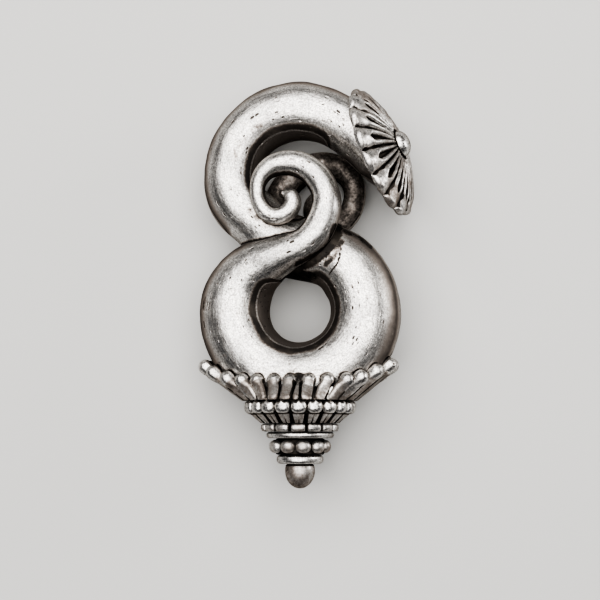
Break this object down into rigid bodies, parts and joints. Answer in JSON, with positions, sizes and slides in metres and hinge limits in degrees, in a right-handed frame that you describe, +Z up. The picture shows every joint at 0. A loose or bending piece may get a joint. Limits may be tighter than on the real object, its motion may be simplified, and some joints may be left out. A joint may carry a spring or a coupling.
{
  "type": "ear weight",
  "caption": "Ear weight of thick curled silver bar: a ring with a hook above it, a scroll on each side, a flower on the hook's end and a petal cup with a beaded, stepped point below.",
  "frame": {"origin": "middle of the footprint of the weight lying on its back, on the surface under it", "axes": "+Y along the weight from its ball tip to the top of its hook, +Z up, out of its front, +X towards the flower"},
  "size_m": [0.029, 0.0548, 0.0169],
  "materials": {
    "polished_silver": "polished antique silver with soft highlights, fine pits and brown-black tarnish on its inner sides",
    "chased_silver": "oxidised silver, bright on the raised parts and nearly black in the grooves"
  },
  "bodies": {
    "root": {"coil": "polished_silver", "flower_cap": "chased_silver", "flower_stud": "polished_silver", "petal_cup": "chased_silver", "fluted_tier": "chased_silver", "block_band": "chased_silver", "upper_collar": "chased_silver", "bead_band": "chased_silver", "lower_collar": "chased_silver", "ball_tip": "chased_silver"}
  },
  "joints": []
}
